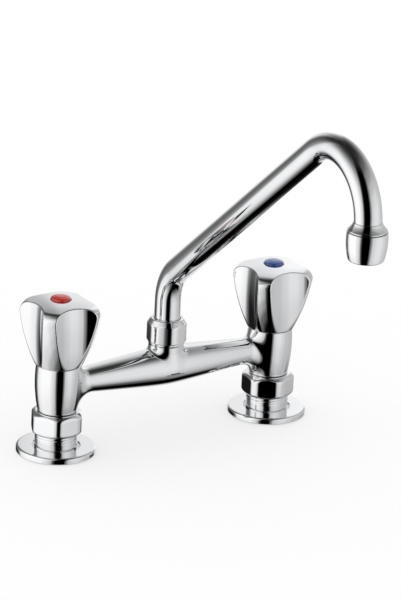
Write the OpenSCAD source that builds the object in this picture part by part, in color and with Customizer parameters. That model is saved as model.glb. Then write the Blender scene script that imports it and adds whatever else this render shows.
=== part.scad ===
// Two-handle bridge mixer tap with a swivel spout. Millimetres, +Z up.
// The origin lies on the worktop, midway between the hot and the cold valve axis.
// The hot side is at -X, the cold side at +X, and the spout points to -Y.

/* [Bridge body] */
// Distance between the two valve axes
centre_distance = 150; // [140:1:180]
// Height of the bridge axis above the lower end of the barrels
bridge_up = 16.3; // [15:0.1:18]
// Radius of the bridge at its middle
bridge_mid_r = 12.4; // [12:0.1:13.5]
// Radius of the bridge where its arms reach the barrels
bridge_end_r = 7.4; // [7:0.1:8.5]
// Radius of the flare between an arm and its barrel
arm_flare = 9; // [8:0.5:12]
// Radius of the waterway through the bridge
bridge_bore_r = 5; // [4:0.1:5.4]

/* [Barrels] */
// Length of a barrel
barrel_len = 29.6; // [28:0.1:32]
// Largest radius of a barrel
barrel_belly_r = 14; // [13.7:0.1:15]
// Radius of a barrel at its lower end
barrel_foot_r = 11.9; // [11.5:0.1:12.6]
// Height of the largest radius above the lower end
belly_up = 19.8; // [18:0.1:21]
// Radius of the valve chamber
chamber_r = 10.4; // [10.2:0.1:10.8]
// Height of the valve seat above the lower end of the barrel
seat_up = 7.8; // [7:0.1:9]
// Outer radius of the tail below a barrel
tail_r = 9.8; // [9.5:0.1:10]
// Radius of the waterway through a tail
tail_bore_r = 6.5; // [5:0.1:6.8]

/* [Union nuts and pillars] */
// Height of a union nut's underside above the worktop
nut_lift = 12; // [11:0.5:14]
// Length of a union nut
nut_len = 14; // [13:0.5:16]
// Width across the flats of a union nut
nut_flats = 30; // [29.5:0.5:33]
// Radius of a pillar over its thread
pillar_r = 13; // [12.6:0.1:13.4]
// Depth of the pillar's thread inside the nut
pillar_grip = 4.6; // [4:0.1:5]
// Radius of the female thread in the pillar's foot
inlet_r = 9.3; // [9:0.1:9.6]
// Depth of the female thread in the pillar's foot
inlet_depth = 11; // [9:0.5:12]
// Width across the flats of the key socket in a pillar
key_flats = 12; // [10:0.5:13]
// Radius of the wire of the nut's retaining ring
wire_r = 0.9; // [0.8:0.05:1]
// Thickness of the flat gaskets
gasket_t = 2; // [1.5:0.1:2.5]

/* [Rosettes] */
// Radius of a rosette
rosette_r = 24.1; // [22:0.1:28]
// Height of a rosette
rosette_h = 3.6; // [3:0.1:5]
// Wall of a rosette
rosette_wall = 1.2; // [1:0.1:1.4]

/* [Handles] */
// Height of a handle
handle_h = 41; // [40:0.5:44]
// Radius of a handle at its base
handle_base_r = 14.4; // [14.2:0.1:15.5]
// Distance from the axis to the middle of a lobe's face, at its widest
lobe_out = 22.1; // [21:0.1:23]
// Radius that a lobe's face is bowed to, in plan
lobe_bow = 40; // [30:1:60]
// Depth of the widest place below the handle's top
lobe_down = 7.3; // [7:0.1:8.5]
// How far in the shoulder above it reaches
shoulder_in = 7.1; // [6:0.1:8]
// Height of the shoulder
shoulder_h = 5.6; // [5:0.1:6]
// Half the angle of a lobe's face at the base
lobe_foot_angle = 12.5; // [10:0.5:18]
// Half the angle of a lobe's face at its widest
lobe_top_angle = 37.2; // [34:0.2:39]
// Radius of the flutes' floor between the lobes
flute_floor_r = 13.4; // [13:0.1:14]
// Radius of the cap that overhangs the flutes
cap_r = 18.4; // [17.5:0.1:19]
// Radius at the foot of the cap's leaning underside
cap_foot_r = 16; // [15:0.1:16.5]
// Depth of the underside's foot below the handle's top
cap_down = 8.2; // [7:0.1:9]
// Rise of the domed top above the cap's edge
dome_rise = 3.5; // [2.5:0.1:4]
// Radius of an index button
button_r = 6.1; // [5.5:0.1:6.5]

/* [Valves] */
// Radius over the thread of a headwork bush
bush_r = 9.9; // [9.7:0.1:10]
// Radius of a bush's flange
flange_r = 11.7; // [11.2:0.1:11.8]
// Width across the flats of a bush's hexagon
bush_flats = 19; // [17:0.5:20]
// Height of a bush's hexagon
bush_hex_h = 5.5; // [4:0.5:6]
// Radius of a bush's neck
bush_neck_r = 7.4; // [7:0.1:7.6]
// Radius of a ceramic disc
disc_r = 8.2; // [7.8:0.1:8.3]
// Thickness of a ceramic disc
disc_t = 3; // [2.6:0.1:3.2]
// Radius of a spindle's stem
stem_r = 5.1; // [4.8:0.1:5.3]
// Side of a spindle's square end
square_w = 7; // [6:0.1:7.4]
// Section radius of a spindle's O-rings
stem_ring_r = 0.8; // [0.7:0.05:0.9]

/* [Spout] */
// Radius of the spout tube
tube_r = 8; // [7.8:0.1:8.2]
// Wall of the spout tube
tube_wall = 1; // [0.8:0.1:1.5]
// Height of the first bend's start above the bridge axis
riser_h = 42.5; // [38:0.5:60]
// Centre-line radius of the first bend
bend_one_r = 30; // [20:1:40]
// Slope of the spout's straight run
spout_slope = 40; // [30:1:50]
// Length of the straight run
run_len = 183; // [140:1:220]
// Centre-line radius of the second bend
bend_two_r = 34; // [25:1:40]
// Length of the drop below the second bend
drop_len = 1.6; // [1:0.1:10]

/* [Spout joint] */
// Height of the hub's top above the bridge axis
hub_up = 16.5; // [16:0.1:18]
// Radius of the hub under the spout nut
hub_r = 10.8; // [10.5:0.1:11.5]
// Radius over the thread of the hub's neck
neck_r = 9.9; // [9.8:0.1:10.1]
// Height of the hub's neck
neck_h = 8.5; // [8:0.1:9]
// Radius of the swivel bore
swivel_r = 8.3; // [8.2:0.05:8.4]
// Width across the flats of the spout nut
spout_nut_flats = 22.6; // [22.4:0.1:25]
// Length of the spout nut
spout_nut_len = 14.5; // [14.3:0.1:16]
// Length of the cone on top of the spout nut
spout_nut_cone = 5.6; // [4:0.1:6.5]
// Turn of the spout nut about its axis
spout_nut_turn = 20.8; // [0:0.1:60]
// Section radius of the swivel's O-rings
swivel_ring_r = 1; // [0.8:0.05:1.1]

/* [Outlet] */
// Radius of the outlet collar
collar_r = 11.3; // [11:0.1:12]
// Length of the collar's flare
collar_flare = 4.6; // [4:0.1:6]
// Largest radius of the aerator housing
housing_r = 12; // [11.7:0.1:13]
// Radius of the aerator housing at its mouth
mouth_r = 10.3; // [10.1:0.1:11]
// Length of the aerator housing
housing_len = 17.3; // [16.5:0.1:20]
// Radius of the threaded spigot inside the housing
spigot_r = 10.2; // [9.9:0.1:10.3]
// Length of the threaded spigot
spigot_len = 8; // [7:0.1:9]

/* [Fits] */
// Gap between a turning piece and its seat
turn_gap = 0.3; // [0.2:0.05:0.4]
// Radial clearance of a thread
thread_gap = 0.1; // [0.05:0.01:0.15]
// Radial clearance of a running shaft
run_gap = 0.08; // [0.05:0.01:0.1]
// Visible seam between two screwed pieces
seam_gap = 0.2; // [0.1:0.05:0.4]

/* [Hidden] */
$fn = 64;
eps = 0.01;

// Turns of the union nuts about their axes, as they are left when tightened
hot_nut_turn = 4;
cold_nut_turn = 36;

// Places along a valve axis, as heights above the worktop
nut_top = nut_lift + nut_len;
barrel_foot = nut_top + seam_gap;
barrel_top = barrel_foot + barrel_len;
bridge_z = barrel_foot + bridge_up;
seat_z = barrel_foot + seat_up;
pillar_top = nut_lift + pillar_grip;
tail_foot = pillar_top + gasket_t;
ring_z = tail_foot + 2.1;
ring_r = tail_r + 0.55;
shoulder_z = ring_z + wire_r;
half_span = centre_distance / 2;

// Places inside a valve
seal_t = 2.2;
disc_z = seat_z + seal_t;
moving_z = disc_z + disc_t;
tongue_h = 1.5;
foot_z = moving_z + disc_t;
foot_h = 3;
stem_z = foot_z + foot_h;
bush_gasket_t = 1;
flange_z = barrel_top + bush_gasket_t;
flange_h = 2;
bush_hex_z = flange_z + flange_h;
neck_z = bush_hex_z + bush_hex_h;
bush_neck_h = 5.6;
bush_top = neck_z + bush_neck_h;
clip_h = 0.9;
square_z = bush_top + clip_h + 1;
stem_bore_r = stem_r + run_gap;
sleeve_r = disc_r + run_gap + 0.7;
window_w = 7;

// Places inside a handle, as heights above the worktop
handle_z = barrel_top + turn_gap;
bush_pocket_r = flange_r + 0.5;
bush_pocket_top = neck_z + 0.6;
neck_pocket_r = bush_neck_r + 0.8;
neck_pocket_top = square_z - 0.3;
screw_web_t = 2;
screw_head_r = 3.8;
screw_head_h = 2.8;
screw_r = 1.9;
screw_len = 10;
screw_pocket_r = 4.4;
button_seat_up = 2.6;
button_rise = 1.5;
button_z = handle_z + handle_h - button_seat_up;
button_skirt_h = 3;
screw_room = 3.6;
screw_web_z = button_z - button_skirt_h - screw_room - screw_head_h - screw_web_t;
square_h = screw_web_z - 0.3 - square_z;

// Places about the spout's swivel
hub_z = bridge_z + hub_up;
hub_collar_h = 1.5;
neck_top = hub_z + neck_h;
washer_t = 0.6;
spigot_flange_z = neck_top + washer_t;
spigot_flange_t = 2;
spigot_flange_r = neck_r - 0.2;
spigot_body_r = swivel_r - run_gap;
spigot_depth = 18;
spigot_bore_r = 5.4;
socket_r = tube_r + 0.9;
socket_h = 1.4;
tube_foot = spigot_flange_z + 0.8;
split_z = spigot_flange_z + spigot_flange_t;
spout_nut_z = hub_z + 0.1;
spout_nut_top = spout_nut_z + spout_nut_len;
split_t = 1.2;
split_w = 2.5;
roof_z = split_z + split_t + 0.1;

// Places along the spout, seen from the side with the swivel axis at s = 0
riser_top = bridge_z + riser_h;
turn_one = 90 - spout_slope;
turn_two = 90 + spout_slope;
bend_one_end = [bend_one_r * (1 - cos(turn_one)), riser_top + bend_one_r * sin(turn_one)];
run_end = bend_one_end + run_len * [cos(spout_slope), sin(spout_slope)];
bend_two_centre = run_end + bend_two_r * [sin(spout_slope), -cos(spout_slope)];
reach = bend_two_centre[0] + bend_two_r;
drop_foot = bend_two_centre[1] - drop_len;

// Places about the outlet
collar_lip_h = 0.7;
collar_top = drop_foot + 3.2;
collar_foot = collar_top - collar_flare - collar_lip_h;
housing_top = collar_foot - seam_gap;
housing_foot = housing_top - housing_len;
spigot_foot = collar_foot - spigot_len;
aerator_gasket_t = 1.6;
insert_top = spigot_foot - aerator_gasket_t;
insert_flange_t = 1.4;
insert_flange_r = spigot_r - 0.3;
insert_r = 8.8;
insert_foot = housing_foot + 0.6;
outlet_bore_r = 6.8;

metal = "gainsboro";
brass = "goldenrod";
rubber = "dimgray";

// A round bar or ring standing on z
module bar(z, h, r) translate([0, 0, z]) cylinder(h = h, r = r);

module tube_ring(z, h, r_out, r_in) difference() {
    bar(z, h, r_out);
    bar(z - 1, h + 2, r_in);
}

// A ring of round section at height z
module o_ring(z, r, section_r) translate([0, 0, z]) rotate_extrude()
    translate([r, 0]) circle(r = section_r, $fn = 24);

// A hexagonal prism between two flats
module hexagon(z, h, flats) translate([0, 0, z])
    cylinder(h = h, r = flats / sqrt(3), $fn = 6);

// Points of an arc about c, from angle a to angle b in n steps
function arc(c, r, a, b, n) =
    [for (i = [0:n]) c + r * [cos(a + (b - a) * i / n), sin(a + (b - a) * i / n)]];

module on_hot() translate([-half_span, 0, 0]) children();
module on_cold() translate([half_span, 0, 0]) children();

// Bridge body: barrels, arms, hub and tails in one casting.
// A barrel's radius falls off with the square of the distance from its belly.
barrel_fall = (barrel_belly_r - barrel_foot_r) / pow(belly_up, 2);
function barrel_r(up) = barrel_belly_r - barrel_fall * pow(up - belly_up, 2);

module barrel() {
    steps = 12;
    translate([0, 0, barrel_foot]) rotate_extrude() polygon(concat(
        [[0, 0]],
        [for (i = [0:steps]) [barrel_r(barrel_len * i / steps), barrel_len * i / steps]],
        [[0, barrel_len]]));
    bar(tail_foot, barrel_foot - tail_foot + eps, tail_r);
}

// Arm radius at x from the middle: a blunt double cone
arm_blunt = 10;
arm_reach = half_span - barrel_belly_r + 5;
arm_slope = (bridge_mid_r - bridge_end_r) / (arm_reach - arm_flare - arm_blunt / 2);
function arm_r(x) = bridge_mid_r - arm_slope * (sqrt(x * x + arm_blunt * arm_blunt) - arm_blunt);
// Near the barrel the arm flares out on an arc
flare_from = arm_reach - 0.8 * arm_flare;
function flare_r(x) = x < flare_from ? 0 : arm_flare - sqrt(pow(arm_flare, 2) - pow(x - flare_from, 2));

module arms() {
    cone_steps = 6;
    flare_steps = 5;
    half = concat(
        [for (i = [0:cone_steps]) flare_from * i / cone_steps],
        [for (i = [1:flare_steps]) flare_from + (arm_reach - flare_from) * i / flare_steps]);
    last = len(half) - 1;
    xs = concat([for (i = [last:-1:1]) -half[i]], half);
    translate([0, 0, bridge_z]) rotate([0, 90, 0]) rotate_extrude() polygon(concat(
        [[0, -arm_reach]],
        [for (x = xs) [arm_r(abs(x)) + flare_r(abs(x)), x]],
        [[0, arm_reach]]));
}

module hub() {
    flare = 2.2;
    flare_foot = hub_z - hub_collar_h - 1.6 * flare;
    edge = 0.3;
    rotate_extrude() polygon(concat(
        [[0, bridge_z], [hub_r + flare / 2, bridge_z]],
        arc([hub_r + flare, flare_foot + flare], flare, 270, 180, 5),
        [[hub_r, hub_z - hub_collar_h], [hub_r + edge, hub_z - hub_collar_h + edge],
         [hub_r + edge, hub_z - edge], [hub_r, hub_z], [0, hub_z]]));
    bar(hub_z - eps, neck_h + eps, neck_r);
}

module barrel_bores() {
    bar(seat_z, barrel_len, bush_r + thread_gap);
    bar(seat_z, foot_z + foot_h - seat_z, chamber_r);
    bar(tail_foot - 1, seat_z - tail_foot + 2, tail_bore_r);
    o_ring(ring_z, ring_r, wire_r + 0.05);
}

module mixer_body() color(metal) difference() {
    union() {
        on_hot() barrel();
        on_cold() barrel();
        arms();
        hub();
    }
    on_hot() barrel_bores();
    on_cold() barrel_bores();
    translate([-half_span, 0, bridge_z]) rotate([0, 90, 0])
        cylinder(h = centre_distance, r = bridge_bore_r);
    bar(spigot_flange_z - spigot_depth - 2, spigot_depth + 2 + neck_h, swivel_r);
    bar(bridge_z, spigot_depth, spigot_bore_r);
}

// Rosette: a pressed cover plate, hollow underneath
module rosette() color(metal) rotate_extrude() polygon(concat(
    [[pillar_r + 0.6, rosette_h - rosette_wall], [rosette_r - rosette_wall, rosette_h - rosette_wall],
     [rosette_r - rosette_wall, 0], [rosette_r, 0]],
    arc([rosette_r - 1.6, rosette_h - 1.6], 1.6, 0, 90, 6),
    [[pillar_r + 0.6, rosette_h]]));

// Pillar: male thread outside, female thread in the foot, key socket through the top
module pillar() color(metal) difference() {
    rotate_extrude() polygon([
        [0, 0], [pillar_r - 0.8, 0], [pillar_r, 0.8],
        [pillar_r, pillar_top - 0.8], [pillar_r - 0.8, pillar_top], [0, pillar_top]]);
    bar(-1, inlet_depth + 1, inlet_r);
    hexagon(inlet_depth - 1, pillar_top - inlet_depth + 2, key_flats);
}

module union_gasket() color(rubber)
    tube_ring(pillar_top, gasket_t, pillar_r - 0.9, tail_bore_r + 0.5);

// A hexagonal nut whose corners are turned off at both ends. A cut is the depth taken off a corner at
// that end, and its slope the rise for each millimetre out.
module turned_hexagon(z, h, flats, top_cut, top_slope, foot_cut, foot_slope) {
    corner = flats / sqrt(3);
    clear = corner + 0.5;
    intersection() {
        hexagon(z, h, flats);
        translate([0, 0, z]) rotate_extrude() polygon([
            [0, 0], [corner - foot_cut, 0], [clear, (clear - corner + foot_cut) * foot_slope],
            [clear, h - (clear - corner + top_cut) * top_slope], [corner - top_cut, h], [0, h]]);
    }
}

module union_nut(turn) color(metal) difference() {
    rotate([0, 0, turn]) turned_hexagon(nut_lift, nut_len, nut_flats, 2.4, 0.58, 2.4, 0.58);
    bar(nut_lift - 1, shoulder_z - nut_lift + 1, pillar_r + thread_gap);
    bar(nut_lift, nut_len + 1, tail_r + 0.2);
}

module retaining_ring() color("darkgray") difference() {
    o_ring(ring_z, ring_r, wire_r);
    translate([ring_r - 2, -1.5, ring_z - 2]) cube([4, 3, 4]);
}

// Ceramic headwork, from the seat upwards
module seat_seal() color(rubber)
    tube_ring(seat_z, seal_t, disc_r, tail_bore_r);

// Half-moon ports of a ceramic disc
module disc_ports(z, turn) rotate([0, 0, turn]) translate([0, 0, z - 1]) linear_extrude(disc_t + 2)
    difference() {
        circle(r = disc_r - 2.2);
        translate([-disc_r, -disc_r]) square([disc_r + 1.2, 2 * disc_r]);
    }

module fixed_disc() color("ivory") difference() {
    bar(disc_z, disc_t, disc_r);
    disc_ports(disc_z, 0);
}

module moving_disc() color("white") difference() {
    bar(moving_z, disc_t, disc_r);
    disc_ports(moving_z, 180);
    translate([-disc_r, -1.6, moving_z + disc_t - tongue_h - 0.2]) cube([disc_r, 3.2, disc_t]);
}

module headwork_bush() color(brass) difference() {
    union() {
        bar(disc_z, stem_z - disc_z + 1, sleeve_r);
        bar(stem_z + 0.6, flange_z - stem_z, bush_r);
        bar(flange_z, flange_h, flange_r);
        turned_hexagon(bush_hex_z - eps, bush_hex_h + eps, bush_flats, 0.8, 0.58, 0, 0.58);
        bar(neck_z - eps, bush_neck_h + eps, bush_neck_r);
    }
    bar(disc_z - 1, stem_z - disc_z + 1 + 0.2, disc_r + run_gap);
    bar(stem_z - 1, bush_top - stem_z + 2, stem_bore_r);
    translate([-window_w / 2, -chamber_r, moving_z - 1]) cube([window_w, 2 * chamber_r, disc_t + 2]);
}

module bush_gasket() color(rubber)
    tube_ring(barrel_top, bush_gasket_t, flange_r, bush_r + 0.2);

// Gap under a ring in its groove
ring_play = 0.1;

function stem_ring_z(i) = stem_z + 5 + i * 6;

module spindle() color(brass) difference() {
    union() {
        translate([-disc_r + 1.2, -1.4, foot_z - tongue_h]) cube([disc_r - 2, 2.8, tongue_h + eps]);
        bar(foot_z, foot_h, disc_r - 0.4);
        bar(stem_z - eps, bush_top + clip_h + 0.7 - stem_z, stem_r);
        translate([-square_w / 2, -square_w / 2, square_z - 0.4])
            cube([square_w, square_w, square_h + 0.4]);
    }
    for (i = [0:1])
        tube_ring(stem_ring_z(i) - stem_ring_r, 2 * stem_ring_r, stem_r + 1,
            stem_bore_r - 2 * stem_ring_r - ring_play);
    tube_ring(bush_top + 0.05, clip_h + 0.1, stem_r + 1, stem_r - 0.9);
    bar(square_z + square_h - screw_len + 1, screw_len, screw_r + 0.05);
}

module spindle_o_rings() color("black")
    for (i = [0:1]) o_ring(stem_ring_z(i), stem_bore_r - 0.05 - stem_ring_r, stem_ring_r - 0.02);

module spindle_clip() color("darkgray") difference() {
    tube_ring(bush_top + 0.1, clip_h, bush_neck_r - 0.3, stem_r - 0.85);
    translate([0, -2, bush_top - 1]) cube([bush_neck_r, 4, clip_h + 2]);
}

// Handle: four teardrop lobes under a domed cap, with a flute between each two.
// Each half lobe is a fan of columns: some across its face, then some down its wall.
// All heights here are above the handle's base.
lobes = 4;
half_pitch = 180 / lobes;
face_fan = [0, 0.33, 0.66, 0.93, 1];
flute_fan = [0.14, 0.36, 0.66, 1];
flute_rise = [0.45, 0.1, 0, 0];
rim_drop = 0.7;
face_cols = len(face_fan) - 1;
half_cols = face_cols + len(flute_fan);
ring_cols = 2 * lobes * half_cols;
lobe_up = handle_h - lobe_down;
shoulder_mid = lobe_out - shoulder_in;
cap_up = handle_h - cap_down;
cap_edge_up = handle_h - dome_rise;
floor_run_in = 12;
floor_run_out = 6;

// Height of the domed top at radius r
function dome_up(r) = handle_h - dome_rise * pow(r / cap_r, 2);
// How far up the shoulder a height lies, from 0 to 1
function on_shoulder(h) = max(0, min(1, (h - lobe_up) / shoulder_h));
// Distance from the axis to the middle of a face: a flare, rounded over above its widest place
function lobe_side(h) = h < lobe_up
    ? handle_base_r + (lobe_out - handle_base_r) * (1 - pow(1 - h / lobe_up, 1.6))
    : shoulder_mid + shoulder_in * sqrt(1 - pow(on_shoulder(h), 2));
// Height of the shoulder at that distance, level inside its middle
function shoulder_up(d) = lobe_up
    + shoulder_h * sqrt(max(0, 1 - pow(max(0, d - shoulder_mid) / shoulder_in, 2)));
// Distance from the axis to the middle of the bowed face through a point
function bowed(r, angle) = r * cos(angle) + pow(r * sin(angle), 2) / (2 * lobe_bow);
// Radius of a bowed face at an angle from its middle
function face_r(h, angle) = let (d = lobe_side(h))
    2 * d / (cos(angle) + sqrt(pow(cos(angle), 2) + 2 * d * pow(sin(angle), 2) / lobe_bow));
// Radius of the flute's floor: in from the base, straight, then out to the cap
function floor_r(h) = flute_floor_r
    + (handle_base_r - 0.2 - flute_floor_r) * pow(max(0, 1 - h / floor_run_in), 2)
    + (cap_foot_r - flute_floor_r) * pow(max(0, 1 - (cap_up - h) / floor_run_out), 2);
// Radius between the lobes: the floor, the cap's leaning underside, then the dome
function between_r(h) = h < cap_up ? floor_r(h)
    : h < cap_edge_up ? cap_foot_r + (cap_r - cap_foot_r) * (h - cap_up) / (cap_edge_up - cap_up)
    : cap_r * sqrt((handle_h - h) / dome_rise);
// Half angle of a lobe's face: a teardrop with an arched top
function face_angle(h) = h < lobe_up
    ? lobe_foot_angle + (lobe_top_angle - lobe_foot_angle) * (1 - pow(1 - h / lobe_up, 2))
    : lobe_top_angle * pow(1 - pow(on_shoulder(h), 2), 0.25);
// Angle of column i from the lobe's middle
function column_angle(i, h) = let (f = face_angle(h)) i <= face_cols
    ? f * face_fan[i]
    : f + (half_pitch - f) * flute_fan[i - face_cols - 1];
// Radius of column i: the face, its softened rim, then a wall that drops to the flute's floor
function column_r(i, h) = let (low = between_r(h), a = column_angle(i, h))
    i < face_cols ? max(low, face_r(h, a))
    : i == face_cols ? max(low, face_r(h, a) - rim_drop)
    : low + flute_rise[i - face_cols - 1] * max(0, face_r(h, face_angle(h)) - rim_drop - low);
// Columns run up one half lobe and down the next
function fold(k) = let (m = k % (2 * half_cols)) m <= half_cols ? m : 2 * half_cols - m;
function turn_of(k, h) = let (m = k % (2 * half_cols), lobe = floor(k / (2 * half_cols)) * 2 * half_pitch)
    lobe + (m <= half_cols ? column_angle(m, h) : 2 * half_pitch - column_angle(fold(k), h));

flare_rows = 9;
shoulder_rows = [0.06, 0.25, 0.45, 0.62, 0.772, 0.85, 0.91];
top_rows = [0.93, 0.86, 0.78, 0.68, 0.5, 0.3];

module handle_shell() {
    heights = concat([for (i = [0:flare_rows]) lobe_up * i / flare_rows],
        [for (f = shoulder_rows) lobe_up + shoulder_h * f]);
    rim = heights[len(heights) - 1];
    side = [for (h = heights) [for (k = [0:ring_cols - 1])
        let (a = turn_of(k, h), r = column_r(fold(k), h))
        [r * cos(a), r * sin(a), h]]];
    top = [for (f = top_rows) [for (k = [0:ring_cols - 1])
        let (a = turn_of(k, rim), r = column_r(fold(k), rim) * f)
        [r * cos(a), r * sin(a), fold(k) <= face_cols
            ? max(dome_up(r), shoulder_up(bowed(r, column_angle(fold(k), rim)))) : dome_up(r)]]];
    rows = concat(side, top);
    n = ring_cols;
    count = len(rows);
    points = concat([for (row = rows) each row], [[0, 0, handle_h], [0, 0, 0]]);
    walls = [for (j = [0:count - 2], k = [0:n - 1])
        let (a = j * n + k, b = j * n + (k + 1) % n)
        each [[a, a + n, b], [b, a + n, b + n]]];
    crown = [for (k = [0:n - 1]) [(count - 1) * n + k, count * n, (count - 1) * n + (k + 1) % n]];
    foot = [for (k = [0:n - 1]) [k, (k + 1) % n, count * n + 1]];
    polyhedron(points = points, faces = concat(walls, crown, foot), convexity = 6);
}

module handle() color(metal) difference() {
    translate([0, 0, handle_z]) handle_shell();
    bar(handle_z - 1, bush_pocket_top - handle_z + 1, bush_pocket_r);
    bar(handle_z, neck_pocket_top - handle_z, neck_pocket_r);
    translate([-square_w / 2 - 0.05, -square_w / 2 - 0.05, handle_z])
        cube([square_w + 0.1, square_w + 0.1, screw_web_z - handle_z]);
    bar(screw_web_z - 1, screw_web_t + 2, screw_r + 0.2);
    bar(screw_web_z + screw_web_t, handle_h, screw_pocket_r);
    bar(button_z, handle_h, button_r + 0.15);
}

module handle_screw() color("darkgray") difference() {
    union() {
        bar(screw_web_z + screw_web_t, screw_head_h, screw_head_r);
        bar(screw_web_z + screw_web_t - screw_len + 1, screw_len, screw_r);
    }
    translate([-screw_head_r, -0.6, screw_web_z + screw_web_t + screw_head_h - 1.2])
        cube([2 * screw_head_r, 1.2, 2]);
}

// Index button: a domed cap on a snap-in skirt
module index_button(tint) color(tint) difference() {
    union() {
        translate([0, 0, button_z]) rotate_extrude() polygon(concat(
            [[0, 0], [button_r, 0], [button_r, button_seat_up - 1]],
            [for (i = [0:5]) [button_r - 0.3 - (button_r - 0.3) * i / 5,
                button_seat_up - 0.4 + button_rise * (1 - pow(1 - i / 5, 2))]]));
        bar(button_z - button_skirt_h, button_skirt_h + eps, screw_pocket_r - 0.05);
    }
    bar(button_z - button_skirt_h - 1, button_skirt_h, screw_pocket_r - 1.2);
}

// Spout nut: a hexagon under a long cone
module spout_nut() color(metal) difference() {
    cone_cut = spout_nut_flats / sqrt(3) - neck_r;
    foot_cut = spout_nut_flats * (1 / sqrt(3) - 1 / 2) + 0.2;
    rotate([0, 0, spout_nut_turn]) turned_hexagon(
        spout_nut_z, spout_nut_len, spout_nut_flats, cone_cut, spout_nut_cone / cone_cut, foot_cut, 0.8);
    bar(spout_nut_z - 1, roof_z - spout_nut_z + 1, neck_r + thread_gap);
    bar(roof_z - 1, spout_nut_len, tube_r + turn_gap);
}

module spout_washer() color("white")
    tube_ring(neck_top, washer_t, spigot_flange_r, swivel_r);

module spout_split_ring() color("white") difference() {
    tube_ring(split_z, split_t, spigot_flange_r, socket_r + 0.1);
    translate([0, -split_w / 2, split_z - 1]) cube([neck_r, split_w, split_t + 2]);
}

function swivel_ring_z(i) = spigot_flange_z - 5 - i * 6;

// Spigot: turned end of the spout, with two ring grooves, a thrust flange and the tube's socket
module spout_spigot() color(brass) difference() {
    union() {
        bar(spigot_flange_z - spigot_depth, spigot_depth + eps, spigot_body_r);
        bar(spigot_flange_z, spigot_flange_t, spigot_flange_r);
        bar(split_z - eps, socket_h + eps - 0.2, socket_r);
    }
    bar(spigot_flange_z - spigot_depth - 1, spigot_depth + 2, spigot_bore_r);
    bar(tube_foot, 10, tube_r + 0.03);
    groove_r = swivel_r - 2 * swivel_ring_r - ring_play;
    for (i = [0:1])
        tube_ring(swivel_ring_z(i) - swivel_ring_r, 2 * swivel_ring_r, swivel_r + 1, groove_r);
}

module spout_o_rings() color("black")
    for (i = [0:1]) o_ring(swivel_ring_z(i), swivel_r - 0.06 - swivel_ring_r, swivel_ring_r - 0.02);

// Spout tube: riser, bend, run, bend and drop, drawn in the plane x = s, then turned to point along -Y.
// A bend is a hair thicker than the straight pieces, which bite a little way into it.
// The path runs past both ends of the tube by over.
bend_swell = 0.02;
bite = 0.3;

module tube_bend(bend_r, turn, r) mirror([1, 0, 0]) rotate([90, 0, 0]) rotate_extrude(angle = turn)
    translate([bend_r, 0]) circle(r = r + bend_swell);

module tube_path(r, over) {
    bar(tube_foot - over, riser_top - tube_foot + over + bite, r);
    translate([bend_one_r, 0, riser_top]) tube_bend(bend_one_r, turn_one, r);
    translate([bend_one_end[0], 0, bend_one_end[1]]) rotate([0, turn_one, 0]) {
        bar(-bite, run_len + 2 * bite, r);
        translate([bend_two_r, 0, run_len]) tube_bend(bend_two_r, turn_two, r);
    }
    translate([reach, 0, 0]) bar(drop_foot - over, drop_len + over + bite, r);
}

module spout_tube() color(metal) rotate([0, 0, -90]) difference() {
    tube_path(tube_r, 0);
    tube_path(tube_r - tube_wall, 1);
}

module on_outlet() translate([0, -reach, 0]) children();

// Outlet: a flared collar brazed to the tube, with the aerator's thread below
module spout_outlet() color(metal) on_outlet() difference() {
    rotate_extrude() polygon(concat(
        [[0, spigot_foot], [spigot_r - 0.5, spigot_foot], [spigot_r, spigot_foot + 0.5],
         [spigot_r, collar_foot], [collar_r - 0.3, collar_foot], [collar_r, collar_foot + 0.3],
         [collar_r, collar_foot + collar_lip_h]],
        [for (i = [1:8]) [tube_r + 0.1 + (collar_r - tube_r - 0.1) * pow(1 - i / 8, 1.5),
            collar_foot + collar_lip_h + collar_flare * i / 8]],
        [[0, collar_top]]));
    bar(spigot_foot - 1, drop_foot - spigot_foot + 2, outlet_bore_r);
    bar(drop_foot, 10, tube_r + 0.05);
}

module aerator_gasket() color(rubber) on_outlet()
    tube_ring(insert_top, aerator_gasket_t, insert_flange_r, outlet_bore_r);

// Aerator insert: a sieve of small holes in hexagonal rows
module aerator_insert() color("whitesmoke") on_outlet() difference() {
    union() {
        bar(insert_top - insert_flange_t, insert_flange_t, insert_flange_r);
        bar(insert_foot, insert_top - insert_foot - insert_flange_t + eps, insert_r);
    }
    bar(insert_foot - 1, 2, insert_r - 1);
    bar(insert_foot + 3, insert_top - insert_foot, insert_r - 1.4);
    pitch = 2.6;
    for (i = [-3:3], j = [-3:3])
        if (norm([i + j / 2, j * sqrt(3) / 2]) * pitch < insert_r - 2)
            translate([(i + j / 2) * pitch, j * pitch * sqrt(3) / 2, insert_foot])
                cylinder(h = 5, r = 0.9, $fn = 16);
}

// Aerator housing: a sleeve with a slight belly and a rounded mouth
module aerator_housing() color(metal) on_outlet() difference() {
    belly = 0.3 * housing_len;
    below = housing_len - belly;
    lip = 1.2;
    rotate_extrude() polygon(concat(
        [[0, housing_foot]],
        arc([mouth_r - lip, housing_foot + lip], lip, 270, 350, 4),
        [for (i = [2:10]) let (d = housing_len * i / 10,
                taper = (housing_r - mouth_r) * pow(max(0, (below - d) / below), 1.8),
                shoulder = 0.4 * pow(max(0, (d - below) / belly), 2))
            [housing_r - taper - shoulder, housing_foot + d]],
        [[0, housing_top]]));
    bar(insert_top - insert_flange_t, housing_len, spigot_r + thread_gap);
    bar(housing_foot - 1, housing_len, insert_r + 0.1);
}

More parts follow.
